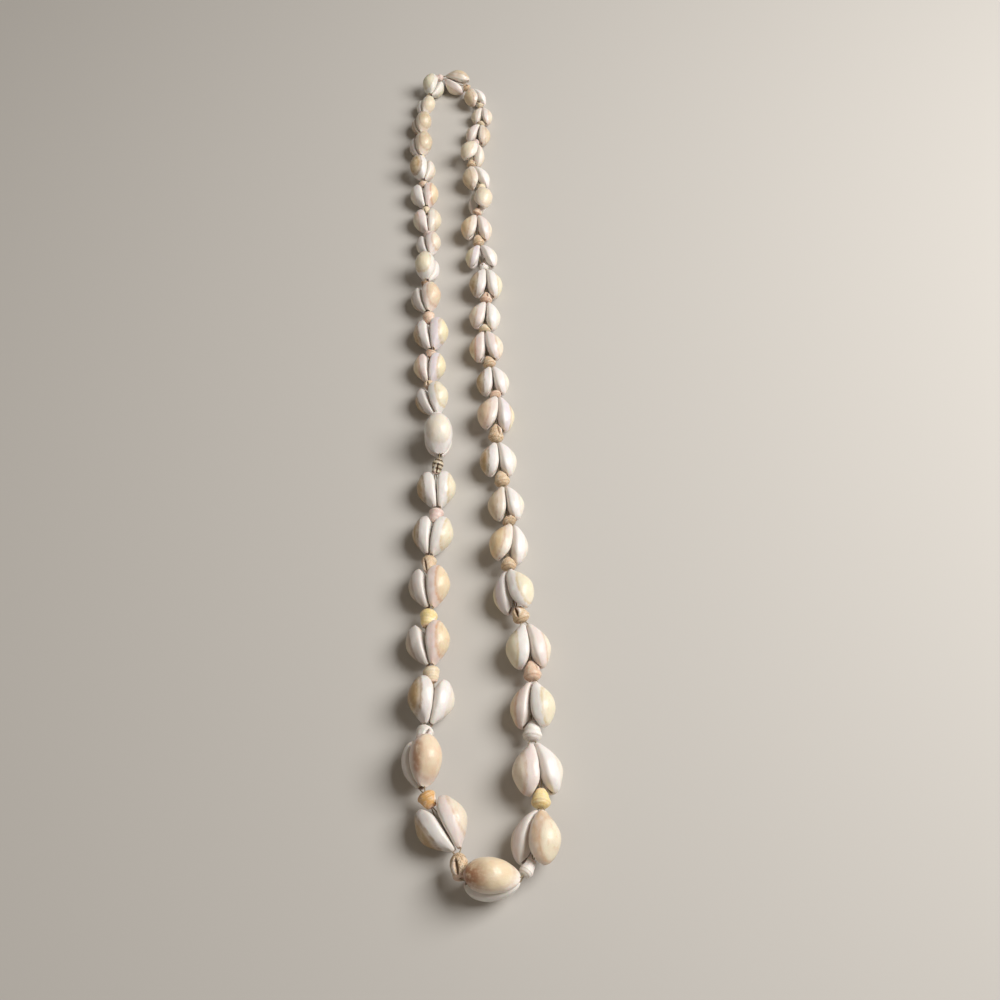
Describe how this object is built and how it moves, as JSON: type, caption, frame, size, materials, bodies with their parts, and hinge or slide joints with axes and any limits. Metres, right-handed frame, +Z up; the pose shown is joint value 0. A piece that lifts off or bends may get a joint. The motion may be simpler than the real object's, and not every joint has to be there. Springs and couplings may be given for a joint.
{
  "type": "cowrie shell necklace",
  "caption": "Closed loop necklace of facing cowrie pairs with small snail shells between them, on a double thread, larger towards the bottom.",
  "frame": {"origin": "middle of the loop's outline on the surface it lies on", "axes": "+X to the right and +Y away from the viewer in the picture, from the large cowries to the small ones, +Z up from the surface"},
  "size_m": [0.0768, 0.478, 0.0211],
  "materials": {
    "cowrie": "natural porcelain-like shell, semi-gloss",
    "spacer": "natural snail shell, satin",
    "thread": "twisted cotton, matte"
  },
  "bodies": {
    "root": {"cowrie_pair_01": "cowrie", "cowrie_pair_02": "cowrie", "cowrie_pair_03": "cowrie", "cowrie_pair_04": "cowrie", "cowrie_pair_05": "cowrie", "cowrie_pair_06": "cowrie", "cowrie_pair_07": "cowrie", "cowrie_pair_08": "cowrie", "cowrie_pair_09": "cowrie", "cowrie_pair_10": "cowrie", "cowrie_pair_11": "cowrie", "cowrie_pair_12": "cowrie", "cowrie_pair_13": "cowrie", "cowrie_pair_14": "cowrie", "cowrie_pair_15": "cowrie", "cowrie_pair_16": "cowrie", "cowrie_pair_17": "cowrie", "cowrie_pair_18": "cowrie", "cowrie_pair_19": "cowrie", "cowrie_pair_20": "cowrie", "cowrie_pair_21": "cowrie", "cowrie_pair_22": "cowrie", "cowrie_pair_23": "cowrie", "cowrie_pair_24": "cowrie", "cowrie_pair_25": "cowrie", "cowrie_pair_26": "cowrie", "cowrie_pair_27": "cowrie", "cowrie_pair_28": "cowrie", "cowrie_pair_29": "cowrie", "cowrie_pair_30": "cowrie", "cowrie_pair_31": "cowrie", "cowrie_pair_32": "cowrie", "cowrie_pair_33": "cowrie", "cowrie_pair_34": "cowrie", "cowrie_pair_35": "cowrie", "cowrie_pair_36": "cowrie", "cowrie_pair_37": "cowrie", "cowrie_pair_38": "cowrie", "cowrie_pair_39": "cowrie", "cowrie_pair_40": "cowrie", "cowrie_pair_41": "cowrie", "cowrie_pair_42": "cowrie", "cowrie_pair_43": "cowrie", "cowrie_pair_44": "cowrie", "spacer_shells": "spacer", "thread": "thread"}
  },
  "joints": []
}
